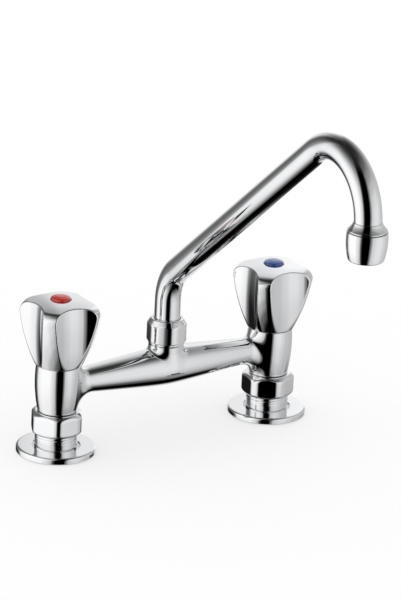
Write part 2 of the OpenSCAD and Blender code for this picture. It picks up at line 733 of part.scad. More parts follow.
mixer_body();
on_hot() rosette();  // hot_rosette
on_hot() pillar();  // hot_pillar
on_hot() union_gasket();  // hot_union_gasket
on_hot() union_nut(hot_nut_turn);  // hot_union_nut
on_hot() retaining_ring();  // hot_retaining_ring
on_hot() seat_seal();  // hot_seat_seal
on_hot() fixed_disc();  // hot_fixed_disc
on_hot() moving_disc();  // hot_moving_disc
on_hot() headwork_bush();  // hot_headwork_bush
on_hot() bush_gasket();  // hot_bush_gasket
on_hot() spindle();  // hot_spindle
on_hot() spindle_o_rings();  // hot_spindle_o_rings
on_hot() spindle_clip();  // hot_spindle_clip
on_hot() handle();  // hot_handle
on_hot() handle_screw();  // hot_handle_screw
on_hot() index_button("firebrick");  // hot_index_button
on_cold() rosette();  // cold_rosette
on_cold() pillar();  // cold_pillar
on_cold() union_gasket();  // cold_union_gasket
on_cold() union_nut(cold_nut_turn);  // cold_union_nut
on_cold() retaining_ring();  // cold_retaining_ring
on_cold() seat_seal();  // cold_seat_seal
on_cold() fixed_disc();  // cold_fixed_disc
on_cold() moving_disc();  // cold_moving_disc
on_cold() headwork_bush();  // cold_headwork_bush
on_cold() bush_gasket();  // cold_bush_gasket
on_cold() spindle();  // cold_spindle
on_cold() spindle_o_rings();  // cold_spindle_o_rings
on_cold() spindle_clip();  // cold_spindle_clip
on_cold() handle();  // cold_handle
on_cold() handle_screw();  // cold_handle_screw
on_cold() index_button("royalblue");  // cold_index_button
spout_nut();
spout_washer();
spout_split_ring();
spout_o_rings();
spout_spigot();
spout_tube();
spout_outlet();
aerator_gasket();
aerator_insert();
aerator_housing();
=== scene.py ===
import math
from functools import reduce
import bpy
import numpy as np
from mathutils import Matrix


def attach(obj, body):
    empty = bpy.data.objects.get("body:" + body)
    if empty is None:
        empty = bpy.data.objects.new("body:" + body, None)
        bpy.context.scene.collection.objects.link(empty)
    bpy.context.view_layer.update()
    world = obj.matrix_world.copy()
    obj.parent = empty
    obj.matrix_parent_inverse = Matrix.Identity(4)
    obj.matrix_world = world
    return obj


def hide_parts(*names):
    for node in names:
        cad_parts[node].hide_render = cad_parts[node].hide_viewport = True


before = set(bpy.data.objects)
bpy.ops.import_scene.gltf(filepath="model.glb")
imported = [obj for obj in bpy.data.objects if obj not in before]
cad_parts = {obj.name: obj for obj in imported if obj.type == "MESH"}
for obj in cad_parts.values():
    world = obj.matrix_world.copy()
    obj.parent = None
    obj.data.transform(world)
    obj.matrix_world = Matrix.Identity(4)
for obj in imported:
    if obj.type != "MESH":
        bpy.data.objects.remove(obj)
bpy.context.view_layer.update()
scene = bpy.context.scene

# All shapes are worked out in millimetres and become metres when a mesh is written.
mm = 0.001
halfSpan = 75.0
valves = {"hot": -halfSpan, "cold": halfSpan}


# Shapes

# The smaller of a and b, rounded off over the distance k where the two are nearly equal.
def softMin(a, b, k):
    near = np.maximum(k - np.abs(a - b), 0) / k
    return np.minimum(a, b) - near * near * k / 4


# The larger of a and b, rounded off in the same way.
def softMax(a, b, k):
    return -softMin(-a, -b, k)


# Several solids as one: the least of their fields.
def joined(*fields):
    return reduce(np.minimum, fields)


# The part of a solid between two heights, with both edges rounded off over the distance k.
def between(solid, z, foot, top, k):
    return softMax(softMax(solid, z - top, k), foot - z, k)


# 0 below low, 1 above high, and an S curve between them.
def ease(v, low, high):
    t = np.clip((v - low) / (high - low), 0, 1)
    return t * t * (3 - 2 * t)


# Writes points in mm, any arrays of quads and triangles, and a normal for each point.
def writeMesh(name, points, faces, normals):
    mesh = bpy.data.meshes.new(name)
    corners = np.concatenate([f.ravel() for f in faces]).astype(np.int32)
    sizes = np.concatenate([np.full(len(f), f.shape[1]) for f in faces])
    starts = np.concatenate([[0], np.cumsum(sizes)[:-1]]).astype(np.int32)
    mesh.vertices.add(len(points))
    mesh.vertices.foreach_set("co", (points * mm).astype(np.float32).ravel())
    mesh.loops.add(len(corners))
    mesh.loops.foreach_set("vertex_index", corners)
    mesh.polygons.add(len(sizes))
    mesh.polygons.foreach_set("loop_start", starts)
    mesh.update(calc_edges=True)
    mesh.polygons.foreach_set("use_smooth", np.ones(len(sizes), dtype=bool))
    length = np.maximum(np.linalg.norm(normals, axis=1, keepdims=True), 1e-9)
    mesh.normals_split_custom_set_from_vertices((normals / length).tolist())
    obj = bpy.data.objects.new(name, mesh)
    scene.collection.objects.link(obj)
    return obj


# Quads of a grid whose rows are closed rings of columns. The last row also joins the first where
# the rows are closed too.
def gridFaces(rows, columns, closedRows):
    row = np.arange(rows if closedRows else rows - 1)
    i, j = np.meshgrid(row, np.arange(columns), indexing="ij")
    i, j = i.ravel(), j.ravel()
    up, on = (i + 1) % rows, (j + 1) % columns
    return np.stack([i * columns + j, i * columns + on, up * columns + on, up * columns + j],
                    axis=1)


# Triangles from the first row to a low pole and from the last row to a high pole. The two poles
# stand after the grid's own points.
def poleFaces(rows, columns):
    j = np.arange(columns)
    on, last, low = (j + 1) % columns, (rows - 1) * columns, j * 0 + rows * columns
    return [np.stack([low, on, j], axis=1), np.stack([last + j, last + on, low + 1], axis=1)]


# A closed outline: each corner (across, up, fillet) becomes an arc that touches both its sides.
# The solid lies on the left of the path. Gives the points and their outward normals.
def outline(corners, steps):
    points, normals = [], []
    for i, (across, up, fillet) in enumerate(corners):
        here = np.array([across, up], float)
        before = np.array(corners[i - 1][:2], float) - here
        after = np.array(corners[(i + 1) % len(corners)][:2], float) - here
        a, b = before / np.linalg.norm(before), after / np.linalg.norm(after)
        half = math.acos(np.clip(np.dot(a, b), -1, 1)) / 2
        middle = a + b
        if fillet <= 0 or np.linalg.norm(middle) < 1e-3:
            edge = b - a
            points.append(here)
            normals.append(np.array([edge[1], -edge[0]]) / np.linalg.norm(edge))
            continue
        centre = here + middle / np.linalg.norm(middle) * fillet / math.sin(half)
        start = here + a * fillet / math.tan(half) - centre
        end = here + b * fillet / math.tan(half) - centre
        turn = math.atan2(start[0] * end[1] - start[1] * end[0], np.dot(start, end))
        angle = math.atan2(start[1], start[0]) + turn * np.linspace(0, 1, steps + 1)
        arc = np.stack([np.cos(angle), np.sin(angle)], axis=1)
        points.extend(centre + arc * fillet)
        normals.extend(arc if turn > 0 else -arc)
    return np.array(points), np.array(normals)


# Turns an outline about a vertical axis: point (across, up) at angle t goes to
# (across cos t, across sin t, up). A point on the axis becomes one shared pole.
def lathe(name, corners, x=0.0, y=0.0, columns=128, steps=6):
    profile, slope = outline(corners, steps)
    onAxis = profile[:, 0] < 1e-6
    t = np.linspace(0, 2 * np.pi, columns, endpoint=False)
    body, bodySlope = profile[~onAxis], slope[~onAxis]
    points = np.stack([body[:, :1] * np.cos(t) + x, body[:, :1] * np.sin(t) + y,
                       body[:, 1:] + 0 * t], axis=-1).reshape(-1, 3)
    normals = np.stack([bodySlope[:, :1] * np.cos(t), bodySlope[:, :1] * np.sin(t),
                        bodySlope[:, 1:] + 0 * t], axis=-1).reshape(-1, 3)
    faces = [gridFaces(len(body), columns, closedRows=not onAxis.any())]
    if onAxis.any():
        low, high = sorted(profile[onAxis][:, 1])
        points = np.concatenate([points, [[x, y, low], [x, y, high]]])
        normals = np.concatenate([normals, [[0, 0, -1], [0, 0, 1]]])
        faces += poleFaces(len(body), columns)
    return writeMesh(name, points, faces, normals)


# The gradient of a field, from the differences over a small step each way.
def gradient(field, points, step=0.02):
    parts = []
    for axis in range(3):
        shift = np.zeros(3)
        shift[axis] = step
        parts.append((field(*(points + shift).T) - field(*(points - shift).T)) / (2 * step))
    return np.stack(parts, axis=1)


# The surface where a field is 0, the field being below 0 inside. The box is searched in cubes.
# Each cube that the surface crosses holds one point, first at the mean of the crossings on its
# edges, then moved along the gradient until the field is 0 there. Each crossed edge gives one
# quad between its four cubes.
def fieldSurface(field, box, cell):
    low, high = np.array(box, float)
    axes = [np.arange(a, b + cell, cell) for a, b in zip(low, high)]
    value = field(*np.meshgrid(*axes, indexing="ij"))
    inside = value < 0
    count = sum(inside[a:inside.shape[0] - 1 + a, b:inside.shape[1] - 1 + b,
                       c:inside.shape[2] - 1 + c].astype(np.int8)
                for a in (0, 1) for b in (0, 1) for c in (0, 1))
    cubes = np.argwhere((count > 0) & (count < 8))
    index = np.full(count.shape, -1)
    index[tuple(cubes.T)] = np.arange(len(cubes))
    total, hits = np.zeros((len(cubes), 3)), np.zeros(len(cubes))
    quads = []
    for axis in range(3):
        along, aside, athwart = np.roll(np.eye(3, dtype=int), -axis, axis=0)
        for a in (0, 1):
            for b in (0, 1):
                start = cubes + a * aside + b * athwart
                first, second = value[tuple(start.T)], value[tuple((start + along).T)]
                hit = (first < 0) != (second < 0)
                part = np.where(hit, first / np.where(hit, first - second, 1), 0)
                total += (start + part[:, None] * along) * hit[:, None]
                hits += hit
        edge = [slice(1, -1)] * 3
        edge[axis] = slice(0, -1)
        following = list(edge)
        following[axis] = slice(1, None)
        changed = inside[tuple(edge)] != inside[tuple(following)]
        node = np.argwhere(changed) + aside + athwart
        quad = np.stack([index[tuple(n.T)] for n in
                         (node, node - aside, node - aside - athwart, node - athwart)], axis=1)
        outward = inside[tuple(node.T)]
        quads.append(np.where(outward[:, None], quad, quad[:, ::-1]))
    points = low + cell * total / hits[:, None]
    passes, flattest, farthest = 4, 0.05, 0.4 * cell
    for _ in range(passes):
        slope = gradient(field, points)
        steep = np.maximum((slope ** 2).sum(axis=1), flattest)
        move = (field(*points.T) / steep)[:, None] * slope
        points -= np.clip(move, -farthest, farthest)
    return points, np.concatenate(quads), gradient(field, points)


# A field's surface as one piece, moved by x.
def fieldPiece(name, field, size, x=0.0):
    points, quads, normals = fieldSurface(field, size["box"], size["cell"])
    print(name, len(points), "points")
    return writeMesh(name, points + [x, 0, 0], [quads], normals)


# Finishes

# A socket of a material that can be added and multiplied like a number.
class Wire:
    def __init__(self, finish, socket):
        self.finish, self.socket = finish, socket

    def combine(self, operation, other):
        return self.finish.node("ShaderNodeMath", {"operation": operation}, {0: self, 1: other})

    def __add__(self, other):
        return self.combine("ADD", other)

    def __mul__(self, other):
        return self.combine("MULTIPLY", other)

    __radd__ = __add__
    __rmul__ = __mul__


# One material. Constants go on the shader's own sockets, and what varies is linked to them.
class Finish:
    def __init__(self, name, constants):
        self.material = bpy.data.materials.new(name)
        self.material.use_nodes = True
        self.tree = self.material.node_tree
        self.tree.nodes.clear()
        self.shader = self.tree.nodes.new("ShaderNodeBsdfPrincipled")
        for key, value in constants.items():
            self.shader.inputs[key].default_value = value
        surface = self.tree.nodes.new("ShaderNodeOutputMaterial")
        self.tree.links.new(self.shader.outputs[0], surface.inputs["Surface"])
        self.place = self.node("ShaderNodeTexCoord", {}, {}, "Object")

    # Any node: its type, its settings, then the value or wire of each socket.
    def node(self, kind, settings, sockets, output=0):
        node = self.tree.nodes.new(kind)
        for key, value in settings.items():
            setattr(node, key, value)
        for key, value in sockets.items():
            if isinstance(value, Wire):
                self.tree.links.new(value.socket, node.inputs[key])
            else:
                node.inputs[key].default_value = value
        return Wire(self, node.outputs[output])

    def noise(self, scale, detail, place=None):
        return self.node("ShaderNodeTexNoise", {},
                         {"Vector": place or self.place, "Scale": scale, "Detail": detail})

    def stretched(self, x, y, z):
        return self.node("ShaderNodeMapping", {"vector_type": "POINT"},
                         {"Vector": self.place, "Scale": (x, y, z)})

    # 0 below low, 1 above high, and a straight line between them.
    def ramp(self, value, low, high):
        return self.node("ShaderNodeMapRange", {"clamp": True}, {0: value, 1: low, 2: high})

    # Two colours mixed. A Mix node takes them at its sockets 6 and 7 and gives its output 2.
    def blend(self, factor, first, second):
        return self.node("ShaderNodeMix", {"data_type": "RGBA"},
                         {0: factor, 6: first, 7: second}, 2)

    def drive(self, key, wire):
        self.tree.links.new(wire.socket, self.shader.inputs[key])

    # Colour and roughness that go with a grain, each from its low places to its high ones.
    def follow(self, grain, low, high, smooth, rough):
        self.drive("Base Color", self.blend(grain, low, high))
        self.drive("Roughness", grain * (rough - smooth) + smooth)

    def bump(self, height, distance, strength):
        self.drive("Normal", self.node("ShaderNodeBump", {}, {
            "Height": height, "Distance": distance, "Strength": strength}))


def colour(r, g, b):
    return (r, g, b, 1.0)


polished = {
    "tint": colour(0.83, 0.84, 0.85), "dull": colour(0.79, 0.8, 0.82),
    "rough": 0.03,      # in the clean places
    "smudge": 0.035,    # added in the dull ones
    "wobble": 0.00003,  # height in metres of the waves that polishing leaves
}


# Chrome plate: a mirror with faint dull patches, fine wipe marks and slow waves.
def chromeFinish(name, waves):
    made = Finish(name, {"Metallic": 1.0, "IOR": 1.5})
    patches = made.ramp(made.noise(38, 3), 0.42, 0.68)
    wipes = made.ramp(made.noise(260, 2, made.stretched(1, 1, 0.22)), 0.35, 0.75)
    made.drive("Roughness", polished["rough"] + patches * wipes * polished["smudge"])
    made.drive("Base Color", made.blend(patches * 0.35, polished["tint"], polished["dull"]))
    made.bump(made.noise(55, 1), polished["wobble"] * waves, 0.35)
    return made


# Turned brass: rings from the tool, run along the axis, with tarnish in patches.
def brassFinish():
    made = Finish("turnedBrass", {"Metallic": 1.0})
    tarnish = made.ramp(made.noise(90, 4), 0.4, 0.7)
    made.follow(tarnish, colour(0.83, 0.62, 0.28), colour(0.6, 0.42, 0.19), 0.22, 0.4)
    rings = made.node("ShaderNodeTexWave", {"wave_type": "BANDS", "bands_direction": "Z"},
                      {"Vector": made.place, "Scale": 700, "Distortion": 0.6})
    made.bump(rings, 0.00002, 0.4)
    return made


# Steel with the long marks of a brush.
def steelFinish():
    made = Finish("brushedSteel", {"Metallic": 1.0})
    brushed = made.noise(420, 3, made.stretched(1, 1, 0.05))
    made.follow(brushed, colour(0.52, 0.53, 0.55), colour(0.68, 0.69, 0.7), 0.22, 0.42)
    made.bump(brushed, 0.00002, 0.3)
    return made


def rubberFinish():
    made = Finish("blackRubber", {"Specular IOR Level": 0.35})
    grain = made.noise(900, 3)
    made.follow(grain, colour(0.018, 0.018, 0.019), colour(0.04, 0.04, 0.042), 0.55, 0.75)
    made.bump(grain, 0.00003, 0.4)
    return made


# Ceramic, lapped smooth, with no relief.
def ceramicFinish():
    made = Finish("lappedCeramic", {"Coat Roughness": 0.1})
    grain = made.noise(600, 4)
    made.follow(grain, colour(0.86, 0.84, 0.78), colour(0.92, 0.91, 0.87), 0.18, 0.3)
    return made


def nylonFinish():
    made = Finish("whiteNylon", {"Subsurface Weight": 0.1, "Subsurface Scale": 0.001})
    grain = made.noise(500, 3)
    made.follow(grain, colour(0.78, 0.78, 0.76), colour(0.86, 0.86, 0.85), 0.35, 0.5)
    made.bump(grain, 0.00002, 0.3)
    return made


# Moulded plastic of an index button: one clear colour under a gloss, with a faint mould texture.
def buttonFinish(name, deep, bright):
    made = Finish(name, {"IOR": 1.5, "Coat Roughness": 0.05, "Coat Weight": 1.0})
    made.follow(made.noise(300, 3), deep, bright, 0.16, 0.24)
    made.bump(made.noise(120, 2), 0.00003, 0.2)
    return made


finishes = {
    "chrome": chromeFinish("polishedChrome", 1.0),
    "brass": brassFinish(),
    "steel": steelFinish(),
    "rubber": rubberFinish(),
    "ceramic": ceramicFinish(),
    "nylon": nylonFinish(),
    "red_plastic": buttonFinish("redPlastic", colour(0.44, 0.012, 0.009),
                                colour(0.52, 0.016, 0.012)),
    "blue_plastic": buttonFinish("bluePlastic", colour(0.012, 0.05, 0.2),
                                 colour(0.02, 0.075, 0.28)),
}
drawnChrome = chromeFinish("drawnTubeChrome", 0.4)
print("finishes made")


# Gives a piece its finish, lets it move with a body and hides the solid that it stands for.
def settle(obj, body, slotName, node, finish=None):
    obj.data.materials.clear()
    obj.data.materials.append((finish or finishes[slotName]).material)
    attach(obj, body)
    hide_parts(node)


# Bridge body

bridge = {
    "barrelFoot": 26.2, "barrelTop": 55.8, "bellyUp": 19.8, "bellyR": 14.0, "footR": 11.9,
    "tailR": 9.8, "tailFoot": 18.6,
    "axisZ": 42.5, "midR": 12.0, "endR": 7.4,        # the arms
    "taper": 52.0, "blunt": 10.0,                    # their taper's length, how blunt its middle is
    "fillet": 4.8, "filletBend": 12.5,               # arm to barrel: at the axis, and how it opens
    "filletBelow": 11.0,                             # its least radius under the arms, which sets
    "belowFade": (-4.0, 8.0), "sideFade": (5.0, 12.0),    # in with depth and goes out sideways
    "hubR": 10.8, "hubTop": 59.0, "hubFillet": 3.2, "hubEdge": 0.4,
    "collarR": 11.1, "collarFoot": 57.5, "collarEdge": 0.3, "collarFillet": 0.25,
    "neckR": 9.9, "neckTop": 67.5, "neckEdge": 0.6,
    "seatZ": 34.0, "boreR": 10.0, "tailBoreR": 6.5, "waterR": 5.0, "hubWaterR": 5.4,
    "swivelR": 8.3, "swivelFoot": 47.5,
    "edge": 0.5, "boreEdge": 0.35,
    "box": ((-90.4, -15.4, 17.6), (90.4, 15.4, 68.6)), "cell": 0.62,
}


# Two barrels whose radius falls off with the square of the distance from the belly, a blunt double
# cone between them, a hub with a thin collar and a threaded neck, less the bores. The fillet
# between arm and barrel opens above and below the axis like a hyperbola and is fuller underneath.
def bridgeField(x, y, z):
    b = bridge
    aside, middle = np.hypot(np.abs(x) - halfSpan, y), np.hypot(x, y)
    level = z - b["axisZ"]
    fall = (b["bellyR"] - b["footR"]) / b["bellyUp"] ** 2
    side = aside - (b["bellyR"] - fall * (z - b["barrelFoot"] - b["bellyUp"]) ** 2)
    barrel = between(side, z, b["barrelFoot"], b["barrelTop"], b["edge"])
    slope = (b["midR"] - b["endR"]) / b["taper"]
    cone = b["midR"] - slope * (np.sqrt(x * x + b["blunt"] ** 2) - b["blunt"])
    arms = softMax(np.hypot(y, level) - cone, np.abs(x) - halfSpan, b["edge"])
    under = ease(-level, *b["belowFade"]) * (1 - ease(np.abs(y), *b["sideFade"]))
    front = np.hypot(b["filletBend"], level) - b["filletBend"] + b["fillet"]
    fillet = front + np.maximum(b["filletBelow"] - front, 0) * under
    solid = softMin(barrel, arms, fillet)
    hub = np.maximum(softMax(middle - b["hubR"], z - b["hubTop"], b["hubEdge"]), -level)
    solid = softMin(solid, hub, b["hubFillet"])
    collar = between(middle - b["collarR"], z, b["collarFoot"], b["hubTop"], b["collarEdge"])
    solid = softMin(solid, collar, b["collarFillet"])
    neck = np.maximum(softMax(middle - b["neckR"], z - b["neckTop"], b["neckEdge"]), -level)
    tail = between(aside - b["tailR"], z, b["tailFoot"], b["axisZ"], b["edge"])
    bores = joined(
        np.maximum(aside - b["boreR"], b["seatZ"] - z),
        np.maximum(aside - b["tailBoreR"], level),
        np.maximum(np.hypot(y, level) - b["waterR"], np.abs(x) - halfSpan),
        np.maximum(middle - b["swivelR"], b["swivelFoot"] - z),
        np.maximum(middle - b["hubWaterR"], -level))
    return softMax(joined(solid, neck, tail), -bores, b["boreEdge"])


settle(fieldPiece("bridgeBody", bridgeField, bridge), "mixer", "chrome", "mixer_body")
print("bridge body made")


# Handles

grip = {
    "foot": 56.1, "height": 41.0,
    "footR": 14.4, "wideR": 24.6, "wideUp": 33.0,   # radius at the foot and at the widest place
    "flare": 0.6,                                   # how much more the side flares lower down
    "domeFall": 0.0067, "shoulder": 5.5,            # fall of the dome, rounding of its rim
    "scoopR": 27.0, "scoopD": 16.1,                 # radius of a scoop, its depth from the axis
    "scoopUp": 28.0, "scoopBow": 178.0,             # where it is deepest, how it bows with height
    "edge": 0.7, "footEdge": 0.5, "pocketEdge": 0.3,
    "sockets": ((12.2, 3.4), (11.4, 8.8), (8.2, 15.4)),   # radius and roof over bush and neck
    "squareHalf": 3.55, "squareRoof": 26.5,
    "screwR": 2.1, "screwHeadR": 4.4, "screwSeat": 29.0,
    "buttonR": 6.25, "buttonSeat": 38.4,
    "box": ((-25.3, -25.3, -1.0), (25.3, 25.3, 42.2)), "cell": 0.45,
}


# One handle about its own axis, z counted from its foot. It is turned to a flared side and a domed
# top, with a scoop cut into each of its four faces. A scoop is a waisted cylinder beside the
# handle: its nearest line bows out in the middle, so that it runs out towards the foot.
def gripField(x, y, z):
    g = grip
    r = np.hypot(x, y)
    out, along = np.maximum(np.abs(x), np.abs(y)), np.minimum(np.abs(x), np.abs(y))
    rise = np.clip(z / g["wideUp"], 0, 1)
    widening = rise * (1 + g["flare"] - g["flare"] * rise)
    side = r - (g["footR"] + (g["wideR"] - g["footR"]) * widening)
    dome = z - (g["height"] - g["domeFall"] * r ** 2)
    turned = softMax(side, dome, g["shoulder"])
    depth = g["scoopD"] - (z - g["scoopUp"]) ** 2 / (2 * g["scoopBow"])
    scoop = g["scoopR"] - np.hypot(along, depth + g["scoopR"] - out)
    return softMax(turned, scoop, g["edge"])


# The handle less its sockets for bush and neck, its square, and its seats for screw and button.
def handleField(x, y, z):
    g = grip
    solid = softMax(gripField(x, y, z), -z, g["footEdge"])
    r = np.hypot(x, y)
    square = np.maximum(np.abs(x), np.abs(y)) - g["squareHalf"]
    pockets = joined(
        *[np.maximum(r - across, z - roof) for across, roof in g["sockets"]],
        np.maximum(square, z - g["squareRoof"]),
        r - g["screwR"],
        np.maximum(r - g["screwHeadR"], g["screwSeat"] - z),
        np.maximum(r - g["buttonR"], g["buttonSeat"] - z))
    return softMax(solid, -pockets, g["pocketEdge"])


# The button's section: across, up and rounding at each corner of a low dome on a short skirt.
button = {
    "section": ((0, 94.5, 0), (6.05, 94.5, 0.2), (6.05, 97.9, 0.9), (4.9, 98.5, 2.2),
                (2.8, 99.1, 5.5), (0, 99.3, 0)),
    "columns": 96,
    "slots": {"hot": "red_plastic", "cold": "blue_plastic"},
}

points, quads, normals = fieldSurface(handleField, grip["box"], grip["cell"])
print("handle", len(points), "points")
for side, x in valves.items():
    valve = side + "_valve"
    made = writeMesh(side + "Handle", points + [x, 0, grip["foot"]], [quads], normals)
    settle(made, valve, "chrome", side + "_handle")
    made = lathe(side + "Button", button["section"], x, columns=button["columns"])
    settle(made, valve, button["slots"][side], side + "_index_button")
print("handles made")


# Nuts

unionNut = {
    "foot": 12.0, "top": 26.0, "flats": 30.0, "turns": {"hot": 4.0, "cold": 26.6},
    "edge": 3.5, "bulgeR": 400.0,                   # rounding of the corners, bulge of the sides
    "cut": 4.0, "slope": 0.62, "cutEdge": 1.2,      # the slope turned off the corners
    "lowBoreR": 13.1, "roof": 21.6, "topBoreR": 10.0,
    "rim": 0.3, "boreEdge": 0.4,
    "box": ((-18.0, -18.0, 11.0), (18.0, 18.0, 27.0)), "cell": 0.45,
}
spoutNut = {
    "foot": 59.1, "top": 73.6, "flats": 23.6, "turn": 19.2, "edge": 2.4, "bulgeR": 33.0,
    "topR": 9.9, "cone": 5.6,                       # the cone that rises from the corners
    "footCut": 1.95, "footSlope": 0.8, "cutEdge": 0.3,
    "lowBoreR": 10.0, "roof": 71.4, "topBoreR": 8.3,
    "rim": 0.4, "footRim": 0.3, "boreEdge": 0.3,
    "box": ((-13.8, -13.8, 58.0), (13.8, 13.8, 74.6)), "cell": 0.4,
}


# Distance outside a hexagon: the furthest of its three pairs of sides, its corners rounded. Each
# side is part of a cylinder of radius bulgeR, as polishing leaves it.
def hexagonField(x, y, nut, turn):
    sides = []
    for a in np.radians([turn + 30, turn + 90, turn + 150]):
        out, along = np.abs(x * math.cos(a) + y * math.sin(a)), y * math.cos(a) - x * math.sin(a)
        inward = nut["bulgeR"] - nut["flats"] / 2
        sides.append(np.hypot(out + inward, along) - nut["bulgeR"])
    return softMax(softMax(sides[0], sides[1], nut["edge"]), sides[2], nut["edge"])


# A slope turned off the corners: the line through (across, up) that falls by slope each mm out.
def turnedCut(r, z, across, up, slope):
    return ((r - across) * slope + (z - up)) / math.hypot(1, slope)


# A nut's bore: wide up to its roof, narrow above.
def nutBore(r, z, nut):
    return joined(np.maximum(r - nut["lowBoreR"], z - nut["roof"]), r - nut["topBoreR"])


# A hexagon with the same slope turned off both ends, less its bore.
def unionNutField(turn):
    def field(x, y, z):
        n = unionNut
        r = np.hypot(x, y)
        corner = n["flats"] / math.sqrt(3) - n["cut"]
        above = turnedCut(r, z, corner, n["top"], n["slope"])
        below = turnedCut(r, -z, corner, -n["foot"], n["slope"])
        solid = softMax(hexagonField(x, y, n, turn), above, n["cutEdge"])
        solid = softMax(solid, below, n["cutEdge"])
        solid = between(solid, z, n["foot"], n["top"], n["rim"])
        return softMax(solid, -nutBore(r, z, n), n["boreEdge"])
    return field


# A hexagon under a tall cone, with its lower corners cut, less its bore.
def spoutNutField(x, y, z):
    n = spoutNut
    r = np.hypot(x, y)
    corner = n["flats"] / math.sqrt(3)
    above = turnedCut(r, z, n["topR"], n["top"], n["cone"] / (corner - n["topR"]))
    below = turnedCut(r, -z, corner - n["footCut"], -n["foot"], n["footSlope"])
    solid = softMax(hexagonField(x, y, n, n["turn"]), above, n["cutEdge"])
    solid = softMax(solid, below, n["cutEdge"])
    solid = softMax(softMax(solid, z - n["top"], n["rim"]), n["foot"] - z, n["footRim"])
    return softMax(solid, -nutBore(r, z, n), n["boreEdge"])


for side, x in valves.items():
    made = fieldPiece(side + "UnionNut", unionNutField(unionNut["turns"][side]), unionNut, x)
    settle(made, "mixer", "chrome", side + "_union_nut")
settle(fieldPiece("spoutNut", spoutNutField, spoutNut), "mixer", "chrome", "spout_nut")
print("nuts made")


# Pillars and rosettes

pillar = {
    "r": 13.0, "top": 16.6,
    "rim": ((12.2, 0.0), (12.5, 0.15), (12.9, 0.7)),      # radius, distance from either end
    "pitch": 1.814, "depth": 0.35, "fade": 1.0,
    "outerFrom": 8.2, "outerEnd": 0.9, "outerGroove": 0.3,    # the groove's share of a pitch
    "innerEnd": 0.6, "innerGroove": 0.7,
    "faceR": 9.6, "keyFlats": 12.0, "keyEdge": 0.25, "keyFootEdge": 0.2,
    "inletR": 9.3, "inletTop": 11.0, "inletTopR": 9.2, "mouth": ((9.9, 0.3), (10.2, 0.0)),
    "rows": 0.2, "columns": 144,
}


# A pillar: both threads are a radius that falls into a groove once a pitch of height less turn, and
# the key socket is a radius that follows a hexagon. The rows run up the outside, down the inside.
def makePillar(name, x):
    p = pillar
    t = np.linspace(0, 2 * np.pi, p["columns"], endpoint=False)

    def thread(z, crest, low, high, groove):
        wave = np.abs((z[:, None] / p["pitch"] - t / (2 * np.pi)) % 1 * 2 - 1)
        tooth = np.clip(1 - (1 - wave) / groove, 0, 1)
        fade = ease(z, low, low + p["fade"]) * (1 - ease(z, high - p["fade"], high))
        return crest - p["depth"] * tooth * fade[:, None]

    flat = np.ones_like(t)
    top, inletTop = p["top"], p["inletTop"]
    up = np.arange(p["outerEnd"], top - p["outerEnd"], p["rows"])
    down = np.arange(inletTop - p["innerEnd"], p["innerEnd"], -p["rows"])
    outer = thread(up, p["r"], p["outerFrom"], top - p["outerEnd"], p["outerGroove"])
    inner = thread(down, p["inletR"] + p["depth"], p["innerEnd"], inletTop - p["innerEnd"],
                   p["innerGroove"])
    key = p["keyFlats"] / 2 / np.cos((t + np.pi / 6) % (np.pi / 3) - np.pi / 6)
    rows = [(r * flat, z) for r, z in p["rim"]]
    rows += zip(outer, up)
    rows += [(r * flat, top - z) for r, z in p["rim"][::-1]]
    rows += [(p["faceR"] * flat, top), (key + p["keyEdge"], top), (key, top - p["keyEdge"]),
             (key, inletTop + p["keyFootEdge"]), (key + p["keyFootEdge"], inletTop),
             (p["inletTopR"] * flat, inletTop)]
    rows += zip(inner, down)
    rows += [(r * flat, z) for r, z in p["mouth"]]
    radius = np.array([r for r, z in rows])
    height = np.array([z for r, z in rows])[:, None] + 0 * t
    grid = np.stack([radius * np.cos(t), radius * np.sin(t), height], axis=-1)
    # the outward normal is the cross product of the steps along a row and to the next row
    alongRow = np.roll(grid, -1, axis=1) - np.roll(grid, 1, axis=1)
    toNext = np.roll(grid, -1, axis=0) - np.roll(grid, 1, axis=0)
    normals = np.cross(alongRow, toNext)
    faces = gridFaces(len(rows), len(t), closedRows=True)
    return writeMesh(name, grid.reshape(-1, 3) + [x, 0, 0], [faces], normals.reshape(-1, 3))


rosette = {
    "r": 24.1, "h": 3.6, "wall": 1.2, "hole": 14.6,
    "round": 1.6, "footEdge": 0.15, "holeEdge": 0.35, "holeFootEdge": 0.3, "hollowEdge": 0.6,
    "columns": 160, "steps": 8,
}


# A turned cup, hollow underneath, with its rim well rounded.
def makeRosette(name, x):
    s = rosette
    inner, roof = s["r"] - s["wall"], s["h"] - s["wall"]
    section = [(s["r"], 0, s["footEdge"]), (s["r"], s["h"], s["round"]),
               (s["hole"], s["h"], s["holeEdge"]), (s["hole"], roof, s["holeFootEdge"]),
               (inner, roof, s["hollowEdge"]), (inner, 0, s["footEdge"])]
    return lathe(name, section, x, columns=s["columns"], steps=s["steps"])


for side, x in valves.items():
    settle(makePillar(side + "Pillar", x), "mixer", "chrome", side + "_pillar")
    settle(makeRosette(side + "Rosette", x), "mixer", "chrome", side + "_rosette")
print("pillars and rosettes made")


# Spout

spout = {
    "r": 8.04, "wall": 1.0, "foot": 68.9, "riserTop": 85.0, "endEdge": 0.25,
    "bendOneR": 30.0, "slope": 40.0, "run": 183.0, "bendTwoR": 34.0, "drop": 1.6,
    "riserRow": 8.0, "bendOneRows": 28, "runRows": 14, "bendTwoRows": 72, "columns": 96,
}


